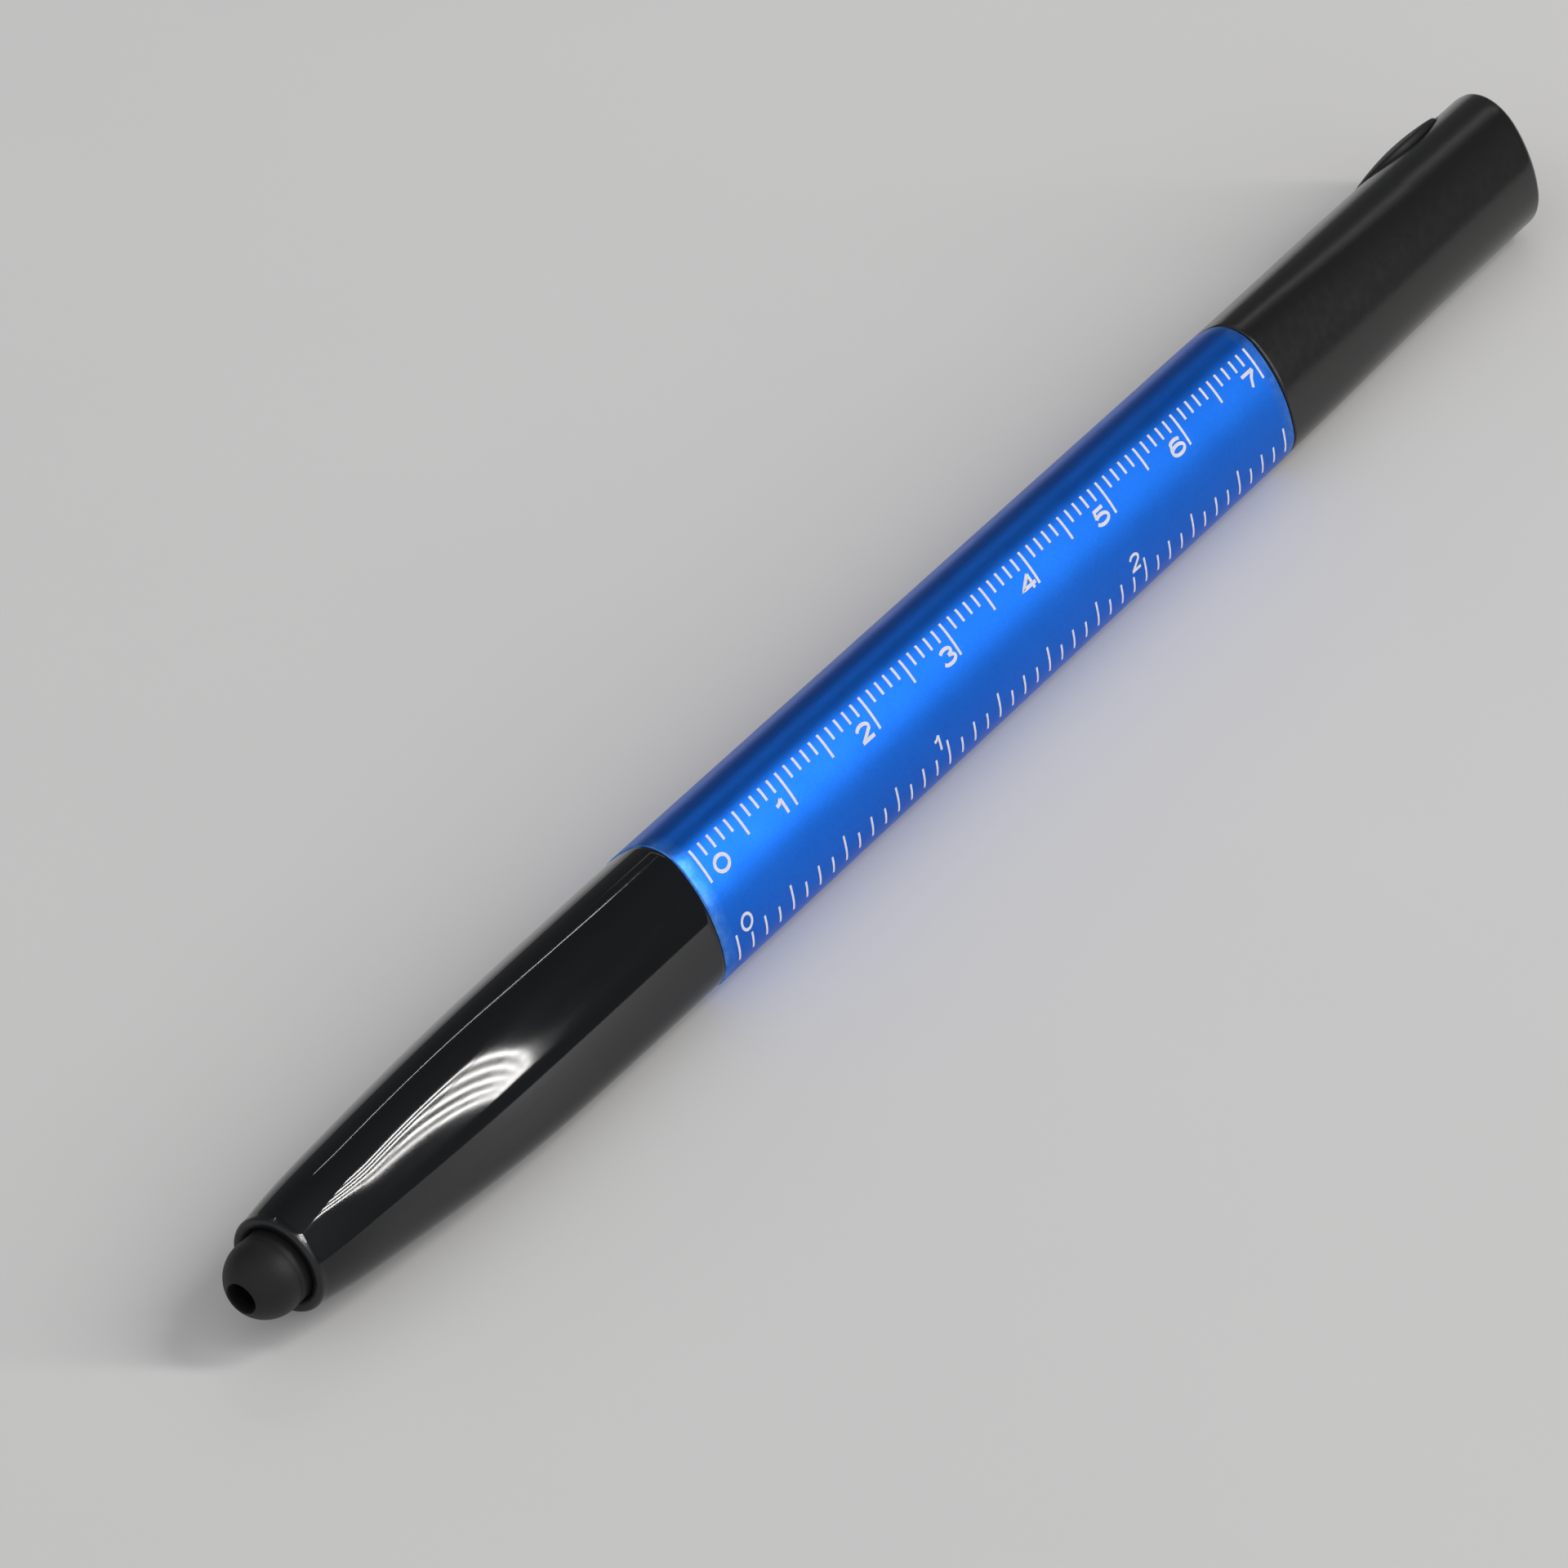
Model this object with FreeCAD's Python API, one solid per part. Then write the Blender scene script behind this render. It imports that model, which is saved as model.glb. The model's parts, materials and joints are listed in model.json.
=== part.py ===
import FreeCAD, Part
import math
import os

os.makedirs("parts", exist_ok=True)
V = FreeCAD.Vector

# ---- driving dimensions, millimetres; stations run from the stylus tip to the tail ----
length_total = 156.7       # stylus tip to tail end, on the axis
end_slant_y, end_slant_z = 0.35, -0.08   # rise of the slanted tail end per millimetre off the axis
end_round = 1.1
dome_radius = 2.7          # rubber stylus ball
dome_wall = 0.8
dome_hole_radius = 1.1     # refill exit at the pole of the dome
neck_r = 2.66              # rubber neck behind the ball
neck_end = 4.30
flange_radius = 2.95       # hidden rubber flange that holds the ball in the nose
flange_end = 5.20
plug_radius = 2.5          # rubber plug behind the flange
plug_end = 7.4
nose_start = 3.85
nose_end = 45.15
lip_end = nose_start + 0.55
core_end = 8.4             # rear of the brass guide
spring_seat = 10.4         # step in the nose that the return spring pushes on
socket_start = 35.5        # socket in the nose for the front bush
socket_radius = 3.8
barrel_start = 45.20
barrel_end = 117.93
cap_start = 118.05
side_h = 5.0               # axis to the middle of a flat, barrel
corner_h = side_h * 1.218  # axis to a rounded corner, barrel
corner_r = side_h * 0.6    # radius of a barrel corner
tail_side_h = side_h * 1.03                                  # same two heights at the tail of the cap
tail_corner_h = tail_side_h + 0.468 * (corner_h - side_h)
barrel_wall = 0.7
bevel = 0.16               # broken ends of the barrel and the front of the cap
cap_wall = 1.0
cell_radius = 3.95         # LR41 button cell
cell_height = 3.6
cap_bore_r = cell_radius + 0.25
cap_bore_end = 139.2
cell_count = 3
cell0 = 126.8              # front of the first cell
sheet = 0.2                # contact plates
twist_deg = 120.0          # cap twist from retracted to extended
refill_travel = 4.5        # refill stroke for that twist
point_radius = 1.0         # metal writing point
ball_radius = 0.35
refill_radius = 1.6
neck_radius = 1.2
step_start = 27.0          # where the refill grows from its neck to its full radius
tube_end = 104.0
spring_wire = 0.34
spring_turns = 11.0
rotor_radius = 3.30
run_gap = 0.05             # radial running clearance of the rotor
hub_radius = 2.8           # rear stem of the rotor, pressed in the drive hub
hub_end = 124.0
guide_start, guide_end, bush_end = 95.0, 108.5, 117.9
button_length = 11.0       # oval lamp switch on the flat away from the scale
button_width = 6.4
button_proud = 0.55
button_centre = length_total - 7.8
button_travel = 0.4
led_radius = 1.5
led_gap = 0.12             # radial gap round the lamp in the end face

# ---- rounded three-sided section ----
A0 = side_h - corner_r
E0 = corner_h - corner_r
C0 = (E0 ** 2 - A0 ** 2) / (2 * A0 - E0)
RS0 = side_h + C0
TR = math.atan2(C0 * math.sin(math.pi / 3), E0 + C0 * math.cos(math.pi / 3))


def section(hs, hc):
    """Corner centre offset, corner radius, side radius, side centre offset."""
    w = (hc - hs) / (corner_h - side_h)
    q = hs - side_h * w
    return E0 * w, q + corner_r * w, q + RS0 * w, C0 * w


def wire(s, hs, hc, off=0.0):
    e, rc, rs, c = section(hs, hc)
    rc -= off
    rs -= off
    edges = []

    def pt(cen, ang, rad):
        return V(s, cen[0] + rad * math.cos(ang), cen[1] + rad * math.sin(ang))

    for k in range(3):
        a = math.radians(90 + 120 * k)
        b = a + math.pi / 3
        cc = (e * math.cos(a), e * math.sin(a))
        sc = (-c * math.cos(b), -c * math.sin(b))
        h = math.pi / 3 - TR
        edges.append(Part.Arc(pt(cc, a - TR, rc), pt(cc, a, rc), pt(cc, a + TR, rc)).toShape())
        edges.append(Part.Arc(pt(sc, b - h, rs), pt(sc, b, rs), pt(sc, b + h, rs)).toShape())
    return Part.Wire(edges)


def loft(rows, off=0.0, ruled=False):
    return Part.makeLoft([wire(s, a, b, off) for s, a, b in rows], True, ruled)


def prism(s0, s1, hs, hc, off=0.0):
    return Part.Face(wire(s0, hs, hc, off)).extrude(V(s1 - s0, 0, 0))


def cyl(s0, s1, r, y=0.0, z=0.0):
    return Part.makeCylinder(r, s1 - s0, V(s0, y, z), V(1, 0, 0))


def cone(s0, s1, r0, r1):
    return Part.makeCone(r0, r1, s1 - s0, V(s0, 0, 0), V(1, 0, 0))


def tube(s0, s1, ro, ri):
    return cyl(s0, s1, ro).cut(cyl(s0 - 0.01, s1 + 0.01, ri))


def turned(pts):
    """Solid of revolution about the pen axis from (station, radius) points."""
    w = Part.makePolygon([V(s, r, 0) for s, r in pts] + [V(pts[0][0], pts[0][1], 0)])
    return Part.Face(w).revolve(V(0, 0, 0), V(1, 0, 0), 360)


def fuse(shapes):
    out = shapes[0]
    for s in shapes[1:]:
        out = out.fuse(s)
    try:
        return out.removeSplitter()
    except Exception:
        return out


parts = {}

# ---- stylus ----
ball = Part.makeSphere(dome_radius, V(dome_radius, 0, 0))
front = ball.common(cyl(-1, dome_radius + 0.15, dome_radius + 1))
neck = turned([(dome_radius - 0.3, 0), (dome_radius - 0.3, neck_r - 0.04), (dome_radius + 0.25, neck_r),
               (neck_end, neck_r), (neck_end, flange_radius), (flange_end, flange_radius),
               (flange_end, plug_radius), (plug_end, plug_radius), (plug_end, 0)])
inner = Part.makeSphere(dome_radius - dome_wall, V(dome_radius, 0, 0))
dome = front.fuse(neck).cut(inner).cut(cyl(dome_radius, 8, dome_radius - dome_wall))
dome = dome.cut(cyl(-1, dome_radius, dome_hole_radius))
parts["stylus_dome"] = dome.removeSplitter()
core_r = dome_radius - dome_wall
core = fuse([cyl(4.2, plug_end + 0.1, core_r), cyl(plug_end, core_end, plug_radius - 0.05)])
parts["stylus_core"] = core.cut(cyl(4, core_end + 0.6, point_radius + 0.12))

# ---- nose ----
def grown(rows):
    """Section heights from rows of (station, flat height over the barrel's, share of the corner's rise)."""
    return [(s, side_h * f, side_h * f + (corner_h - side_h) * k) for s, f, k in rows]


nose_rows = grown([(lip_end, 0.707, 0.055), (6.7, 0.764, 0.193), (11.7, 0.838, 0.431), (17.7, 0.900, 0.706),
                   (24.7, 0.952, 0.927), (31.7, 0.974, 1.0), (38.7, 0.984, 1.0), (nose_end, 0.986, 1.0)])
lip = grown([(nose_start, 0.640, 0.037), (nose_start + 0.05, 0.666, 0.037), (nose_start + 0.17, 0.686, 0.046),
             (nose_start + 0.35, 0.698, 0.046), (lip_end, 0.707, 0.055)])
nose = loft(nose_rows).fuse(loft(lip, ruled=True))
nose = nose.cut(cyl(0, neck_end - 0.03, neck_r + 0.04))
nose = nose.cut(cone(nose_start - 0.05, nose_start + 0.27, neck_r + 0.44, neck_r + 0.02))
nose = nose.cut(cyl(neck_end - 0.04, flange_end + 0.04, flange_radius + 0.05))
nose = nose.cut(cyl(flange_end, core_end + 0.2, plug_radius + 0.05)).cut(cyl(8, 11, neck_radius + 0.05))
nose = nose.cut(cyl(spring_seat, 36, refill_radius + 0.35)).cut(cyl(socket_start, 50, socket_radius))
parts["nose_cone"] = nose.removeSplitter()
spigot = cyl(socket_start + 0.7, barrel_start + 0.8, socket_radius - 0.06)
bush = fuse([spigot, prism(barrel_start + 0.2, barrel_start + 10.8, side_h, corner_h, barrel_wall)])
parts["front_bush"] = bush.cut(cyl(30, 60, refill_radius + 0.6))

# ---- barrel ----
body = prism(barrel_start + bevel, barrel_end - bevel, side_h, corner_h)
ends = []
for end, inward in ((barrel_start, bevel), (barrel_end, -bevel)):
    pair = sorted([(end, bevel), (end + inward, 0.0)])
    ends.append(Part.makeLoft([wire(s, side_h, corner_h, off) for s, off in pair], True, True))
barrel = fuse([body] + ends).cut(prism(barrel_start - 1, barrel_end + 1, side_h, corner_h, barrel_wall))
parts["barrel"] = barrel

# ---- refill ----
tip_s = 1.6                # ball centre when retracted
tip = turned([(tip_s - 0.02, 0), (tip_s - 0.02, 0.42), (tip_s + 0.3, 0.50), (4.4, 0.92), (4.7, point_radius),
              (13.0, point_radius), (13.0, 0.8), (16.0, 0.8), (16.0, 0)])
tip = tip.cut(Part.makeSphere(ball_radius, V(tip_s, 0, 0))).cut(cyl(tip_s, 17, 0.25))
parts["refill_tip"] = tip
parts["writing_ball"] = Part.makeSphere(ball_radius, V(tip_s, 0, 0))
ink_r = refill_radius - 0.4
neck_bore = 0.8
ink_step = step_start + 0.6
shell = fuse([cyl(13.0, step_start, neck_radius), cyl(step_start, tube_end, refill_radius)])
parts["refill_tube"] = shell.cut(cyl(12, ink_step, neck_bore)).cut(cyl(ink_step, tube_end + 1, ink_r))
parts["ink_column"] = fuse([cyl(16.0, ink_step, neck_bore), cyl(ink_step, 88.0, ink_r)])
parts["ink_follower"] = cyl(88.0, 91.0, ink_r)
plug_rear = tube_end + 0.8
plug = fuse([cyl(tube_end - 3.0, tube_end, ink_r), cyl(tube_end, plug_rear, refill_radius)])
parts["refill_plug"] = plug.cut(cyl(100, 106, 0.3))
coil_r = neck_radius + 0.08 + spring_wire / 2
coil_len = step_start - spring_seat - spring_wire - 0.04
helix = Part.makeHelix(coil_len / spring_turns, coil_len, coil_r)
ring = Part.Wire(Part.makeCircle(spring_wire / 2, V(coil_r, 0, 0), V(0, 1, 0)))
coil = Part.Wire(helix).makePipeShell([ring], True, True)
coil.rotate(V(0, 0, 0), V(0, 1, 0), 90)
coil.translate(V(spring_seat + spring_wire / 2 + 0.02, 0, 0))
parts["return_spring"] = coil

# ---- twist mechanism ----
slide_r = refill_radius + 0.6
guide = prism(guide_start, guide_end, side_h, corner_h, barrel_wall).cut(cyl(90, 110, slide_r + 0.1))
for keyway_low in (slide_r - 0.25, -slide_r - 0.95):
    guide = guide.cut(Part.makeBox(20, 1.3, 1.2, V(92, -0.65, keyway_low)))
parts["keyed_guide"] = guide
rear = prism(guide_end, bush_end, side_h, corner_h, barrel_wall)
rear = rear.cut(cyl(guide_end - 1, 117.0, rotor_radius + run_gap)).cut(cyl(116, 119, hub_radius + run_gap))
parts["rear_bush"] = rear
rise = refill_travel / twist_deg          # millimetres of lift per degree
lug_deg = 20.0
ramp_deg = twist_deg + lug_deg
ramp_back = 115.0


def helical(r0, r1, start, sweep, s_at_end, length):
    """Annular sector whose two ends are screw surfaces; its station grows with the angle."""
    pitch = rise * 360.0
    rows = []
    for r in (r0, r1):
        n = 24
        pts = []
        for i in range(n + 1):
            a = math.radians(start + sweep * i / n)
            pts.append(V(s_at_end - rise * sweep * (1 - i / n), r * math.cos(a), r * math.sin(a)))
        bs = Part.BSplineCurve()
        bs.interpolate(pts)
        rows.append(bs.toShape())
    face = Part.makeRuledSurface(rows[0], rows[1], 1)
    return face.extrude(V(length, 0, 0))


def wedge(s0, s1, r0, r1, start, sweep):
    """Plain annular sector."""
    a, b = math.radians(start), math.radians(start + sweep)
    m = (a + b) / 2
    p = lambda r, t: V(s0, r * math.cos(t), r * math.sin(t))
    w = Part.Wire([Part.Arc(p(r1, a), p(r1, m), p(r1, b)).toShape(), Part.makeLine(p(r1, b), p(r0, b)),
                   Part.Arc(p(r0, b), p(r0, m), p(r0, a)).toShape(), Part.makeLine(p(r0, a), p(r1, a))])
    return Part.Face(w).extrude(V(s1 - s0, 0, 0))


front_level = ramp_back - rise * ramp_deg
rotor = [tube(ramp_back, 116.95, rotor_radius, 1.0), tube(116.95, hub_end, hub_radius, 1.0)]
plunger = [cyl(96.5, 108.4, slide_r)]
for k in range(2):
    th0 = 90.0 + 180.0 * k
    blank = wedge(front_level - 1, ramp_back + 0.2, 1.2, rotor_radius, th0 + 20 - 140, 140)
    keep = helical(1.0, rotor_radius + 0.2, th0 + 20 - 144, 147, ramp_back + rise * 3, 12.0)
    rotor.append(blank.common(keep))
    rotor.append(wedge(front_level, ramp_back + 0.2, 1.2, rotor_radius, th0 - 160, 40.0))
    finger = wedge(108.2, ramp_back + 0.4, 1.35, slide_r - 0.05, th0, lug_deg - 1.0)
    lim = helical(1.0, slide_r + 0.4, th0 - 4, 28, ramp_back + rise * 4 - 0.06, 8.0)
    plunger.append(finger.cut(lim))
    ear = Part.makeBox(5.0, 1.1, 1.0, V(101.0, -0.55, slide_r - 0.25 if k == 0 else -slide_r - 0.75))
    plunger.append(ear)
parts["twist_cam"] = fuse(rotor)
parts["plunger"] = fuse(plunger).cut(cyl(96, plug_rear, refill_radius + 0.02)).cut(cyl(104, 106, 0.6))
groove = Part.makeTorus(rotor_radius - 0.44, 0.42, V(116.0, 0, 0), V(1, 0, 0))
parts["drag_ring"] = groove
parts["twist_cam"] = parts["twist_cam"].cut(tube(115.55, 116.45, rotor_radius + 1, rotor_radius - 0.86))
parts["thrust_washer"] = tube(barrel_end, cap_start + 0.15, cap_bore_r - 0.25, hub_radius + 0.1)
parts["drive_hub"] = tube(cap_start + 0.25, hub_end, cap_bore_r, hub_radius)

# ---- tail cap ----
cap_rows = grown([(cap_start + 0.2, 0.998, 0.982), (124.0, 1.004, 0.899), (130.0, 1.016, 0.734),
                  (136.0, 1.026, 0.569)])
cap_rows.append((142.0, tail_side_h, tail_corner_h))
cap = loft(cap_rows)
cap_front = wire(cap_start, cap_rows[0][1], cap_rows[0][2], bevel)
cap = cap.fuse(Part.makeLoft([cap_front, wire(*cap_rows[0])], True, True))
slant = V(1, -end_slant_y, -end_slant_z).normalize()
beyond = Part.makeBox(20, 40, 40, V(0, -20, -20))
tilted = FreeCAD.Placement(V(length_total, 0, 0), FreeCAD.Rotation(V(1, 0, 0), slant))
beyond.Placement = tilted.multiply(beyond.Placement)
tail = prism(142.0, length_total + 4, tail_side_h, tail_corner_h).cut(beyond)
end_face = max(tail.Faces, key=lambda f: f.CenterOfMass.x)
tail = tail.makeFillet(end_round, end_face.Edges)
cap = cap.fuse(tail)
cap = cap.cut(cyl(cap_start - 1, cap_bore_end, cap_bore_r))
cavity_end = length_total - 2.0
cap = cap.cut(prism(cap_bore_end - 0.2, cavity_end, tail_side_h, tail_corner_h, cap_wall))
cap = cap.cut(cyl(cavity_end - 4, length_total + 3, led_radius + led_gap))
et, rct, rst, ct = section(tail_side_h, tail_corner_h)


def oval(x0, length, width, d0, d1):
    """Stadium-ended oval prism standing on the switch side, local height d."""
    a, b = length / 2, width / 2
    el = Part.Ellipse(V(x0, 0, 0), a, b).toShape()
    f = Part.Face(Part.Wire(el))
    f.translate(V(0, 0, d0))
    return f.extrude(V(0, 0, d1 - d0))


def to_side(sh):
    """Turn a shape built with its normal up so that the normal faces the switch side."""
    sh.rotate(V(0, 0, 0), V(1, 0, 0), -60)
    return sh


cap = cap.cut(to_side(oval(button_centre, button_length + 0.24, button_width + 0.24, 2.0, 9.0)))
parts["tail_cap"] = cap.removeSplitter()

# ---- lamp switch button ----
crest = rst + button_proud
half = button_length / 2
crown = 0.5                # drop of the button's top from its middle to its end
fall = crown * ((half + 1) / half) ** 2
arc = Part.Arc(V(button_centre - half - 1, 0, crest - fall), V(button_centre, 0, crest),
               V(button_centre + half + 1, 0, crest - fall)).toShape()
p0, p1 = arc.Vertexes[0].Point, arc.Vertexes[-1].Point
lo = rst - cap_wall - 0.7
prof = Part.Wire([arc, Part.makeLine(p1, V(p1.x, 0, lo)), Part.makeLine(V(p1.x, 0, lo), V(p0.x, 0, lo)),
                  Part.makeLine(V(p0.x, 0, lo), p0)])
dome_top = Part.Face(prof).revolve(V(0, 0, 0), V(1, 0, 0), 360)
dome_top.translate(V(0, 0, -ct))
top = oval(button_centre, button_length, button_width, 1.5, 9.0).common(dome_top)
skirt = to_side(oval(button_centre, button_length + 1.0, button_width + 1.0, 1.5, 9.0))
band = prism(button_centre - 10, button_centre + 5.7, tail_side_h, tail_corner_h, cap_wall + 0.1).cut(
    prism(button_centre - 11, button_centre + 6.7, tail_side_h, tail_corner_h, cap_wall + 0.7))
stem = Part.makeCylinder(0.9, 2.4, V(button_centre, 0, 2.05), V(0, 0, 1))
button = fuse([to_side(top.fuse(stem)), skirt.common(band)])
parts["switch_button"] = button

# ---- lamp, cells and contacts inside the cap ----
dish_r = cell_radius - 0.5
parts["contact_front"] = cyl(hub_end, hub_end + sheet, cap_bore_r - 0.3)
parts["contact_spring"] = turned([(hub_end + 0.22, dish_r), (hub_end + 0.44, dish_r), (cell0 - 0.02, 1.1),
                                  (cell0 - 0.24, 1.1)])
names = ["cell_front", "cell_middle", "cell_rear", "cell_fourth", "cell_fifth"]
for k in range(cell_count):
    s0 = cell0 + k * cell_height
    can = cyl(s0 + 0.35, s0 + cell_height, cell_radius)
    parts[names[k]] = fuse([can, cyl(s0, s0 + 0.4, cell_radius - 0.75)])
cell1 = cell0 + cell_count * cell_height
parts["cell_sleeve"] = tube(hub_end + 0.3, cell1 + 0.1, cell_radius + 0.10, cell_radius + 0.03)
tab = Part.makeBox(2.4, 2.0, sheet, V(cell1, -1.0, 0.42))
parts["contact_rear"] = fuse([cyl(cell1, cell1 + sheet, cell_radius - 0.35), tab])
carrier = cyl(cell1 + sheet, cell1 + 1.6, cap_bore_r - 0.1)
slot = Part.makeBox(3, 6.6, 0.84, V(cell1, -3.3, -0.42)).fuse(Part.makeBox(3, 2.2, 0.3, V(cell1, -1.1, 0.40)))
carrier = carrier.cut(slot)
strap_cut = Part.makeBox(5, 1.4, 1.0, V(cell1, -0.7, -cap_bore_r - 0.2))
parts["board_carrier"] = to_side(carrier.cut(strap_cut))
board_end = length_total - 5.9
parts["lamp_board"] = to_side(Part.makeBox(board_end - cell1 - 0.3, 6.4, 0.8, V(cell1 + 0.3, -3.2, -0.4)))
sw = Part.makeBox(3.4, 3.4, 1.2, V(button_centre - 1.7, -1.7, 0.4)).cut(
    Part.makeCylinder(0.8, 1, V(button_centre, 0, 1.0), V(0, 0, 1)))
parts["switch_body"] = to_side(sw)
parts["switch_plunger"] = to_side(Part.makeCylinder(0.75, 2.05 - 1.4, V(button_centre, 0, 1.4), V(0, 0, 1)))
parts["contact_rear"] = to_side(parts["contact_rear"])
parts["resistor"] = to_side(Part.makeBox(2.0, 1.25, 0.5, V(142.5, -0.62, -0.9)))
strap = wedge(hub_end, 140.6, cap_bore_r - 0.15, cap_bore_r - 0.01, 261.0, 18.0)
foot = Part.makeBox(1.0, 1.2, cap_bore_r - 0.8, V(139.6, -0.6, -cap_bore_r + 0.14))
strap = fuse([strap, foot])
parts["contact_strap"] = to_side(strap)
led_base = length_total - 5.7
led_dome = length_total - 0.4 - led_radius
led = fuse([cyl(led_base, led_base + 1.0, led_radius + 0.4), cyl(led_base + 0.5, led_dome, led_radius),
            Part.makeSphere(led_radius, V(led_dome, 0, 0))])
parts["uv_led"] = led
legs = [cyl(led_base - 3.6, led_base, 0.22, y, -0.62) for y in (-0.95, 0.95)]
parts["led_leads"] = to_side(Part.makeCompound(legs))
collar = tube(led_base + 0.2, cavity_end, 2.7, led_radius + 0.02)
parts["led_collar"] = collar.cut(cyl(led_base, led_base + 1.0, led_radius + 0.4))

# ---- row frame: bottom of the bounding box on the table, centre of the box at the origin ----
boxes = [parts[n].optimalBoundingBox() for n in parts]
x0 = min(b.XMin for b in boxes)
x1 = max(b.XMax for b in boxes)
y0 = min(b.YMin for b in boxes)
y1 = max(b.YMax for b in boxes)
z0 = min(b.ZMin for b in boxes)
shift = V(-(x0 + x1) / 2, -(y0 + y1) / 2, -z0)
for name, shape in parts.items():
    shape.translate(shift)
    shape.exportStep("parts/%s.step" % name)
print("nodes", len(parts), "shift", shift, "box", x1 - x0, y1 - y0)
for name, shape in parts.items():
    if not shape.isValid() or shape.Volume <= 0:
        print("BAD", name, shape.isValid(), shape.Volume)
    print(name, shape.ShapeType, len(shape.Solids), round(shape.Volume, 2))
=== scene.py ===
# %% [markdown]
# # A banknote checking pen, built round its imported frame
#
# The real object is a twist pen with a rounded three-sided body. A soft rubber
# ball for touch screens sits at the nose, the metal barrel carries a centimetre
# and an inch scale, and the black tail cap hides an ultraviolet lamp with an
# oval rubber switch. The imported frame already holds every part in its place, so
# this lesson gives the visible shells their fine surfaces, prints the scale, and
# gives every part its finish.

# %% Load the frame and keep its box
import json
import bpy
import numpy as np
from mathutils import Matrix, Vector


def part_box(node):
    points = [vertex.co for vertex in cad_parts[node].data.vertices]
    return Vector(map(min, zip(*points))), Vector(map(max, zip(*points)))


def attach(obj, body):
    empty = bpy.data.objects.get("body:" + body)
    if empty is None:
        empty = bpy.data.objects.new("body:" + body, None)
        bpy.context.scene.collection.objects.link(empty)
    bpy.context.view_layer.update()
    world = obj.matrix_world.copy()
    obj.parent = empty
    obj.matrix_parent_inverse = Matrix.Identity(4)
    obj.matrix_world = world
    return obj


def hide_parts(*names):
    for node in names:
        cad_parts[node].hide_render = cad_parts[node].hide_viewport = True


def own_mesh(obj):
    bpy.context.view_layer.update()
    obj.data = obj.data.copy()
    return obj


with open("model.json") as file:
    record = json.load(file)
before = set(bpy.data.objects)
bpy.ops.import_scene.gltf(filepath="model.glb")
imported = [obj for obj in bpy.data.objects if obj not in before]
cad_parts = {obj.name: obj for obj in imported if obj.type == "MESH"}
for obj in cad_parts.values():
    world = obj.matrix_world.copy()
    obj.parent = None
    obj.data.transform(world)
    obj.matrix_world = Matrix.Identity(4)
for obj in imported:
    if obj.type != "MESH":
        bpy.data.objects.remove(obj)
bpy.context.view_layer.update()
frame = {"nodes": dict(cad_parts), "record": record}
MM = 0.001
render_levels = 2

# %% [markdown]
# ## Where things are
#
# Every length below is in millimetres along the pen, counted from the tip of the
# rubber ball. The axis is read from the ink tube, which is round, and the joints
# between the shells are read from the shells' own boxes, so that the surfaces
# fit the frame whatever its numbers are.

# %% Read the axis and the joints from the frame
tube_lo, tube_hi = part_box("refill_tube")
axis_y, axis_z = (tube_lo.y + tube_hi.y) / 2 / MM, (tube_lo.z + tube_hi.z) / 2 / MM
tip_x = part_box("barrel")[0].x / MM - 45.20        # row x of station 0


def stations(node):
    """First and last station of a frame part, from its box."""
    lo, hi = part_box(node)
    return lo.x / MM - tip_x, hi.x / MM - tip_x


nose_0, nose_1 = stations("nose_cone")
barrel_0, barrel_1 = stations("barrel")
cap_0, cap_1 = stations("tail_cap")
print("axis", round(axis_y, 3), round(axis_z, 3), "nose", round(nose_0, 2), round(nose_1, 2),
      "barrel", round(barrel_0, 2), round(barrel_1, 2), "cap", round(cap_0, 2), round(cap_1, 2))

# %% [markdown]
# ## The camera
#
# A long lens looks down at the pen from its nose end, at about 39 degrees above
# the table. A long lens is used for small products because it keeps the two
# long edges of the pen nearly parallel. The camera's three axes are given as a
# rotation, in degrees about X, Y and Z.

# %% Place the camera
camera_data = bpy.data.cameras.new("product_camera")
camera_data.lens = 156.317
camera_data.sensor_width = 36.0
camera_data.clip_start, camera_data.clip_end = 0.01, 50.0
camera = bpy.data.objects.new("product_camera", camera_data)
bpy.context.scene.collection.objects.link(camera)
camera.location = (tip_x * MM - 0.23649278, -0.20940826, 0.29681076)
camera.rotation_euler = np.radians([51.37984504, 0.61750469, -55.2948969])
bpy.context.scene.camera = camera
print("camera", [round(v, 3) for v in camera.location])

# %% [markdown]
# ## The rounded three-sided section
#
# The body is neither round nor a plain triangle. Its outline is six arcs that
# run into each other: three tight ones at the corners and three wide ones, almost
# flat, between them. The neat way to compute such an outline is its support
# function h: the distance from the axis to the tangent line whose outward normal
# points at the angle w. The point itself is h times the normal plus h' times the
# tangent. Taking a constant off h gives the exact parallel outline, which makes
# walls, bevels and raised print easy.

# %% The section as a support function
CORNER_H, SIDE_H, CORNER_R = 6.09, 5.0, 3.0
E0, A0 = CORNER_H - CORNER_R, SIDE_H - CORNER_R
C0 = (E0 ** 2 - A0 ** 2) / (2 * A0 - E0)
RS0 = SIDE_H + C0
TURN = np.arctan2(C0 * np.sin(np.pi / 3), E0 + C0 * np.cos(np.pi / 3))
PRINTED, SWITCH = np.radians(150.0), np.radians(30.0)    # normals of the two upper flats


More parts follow.
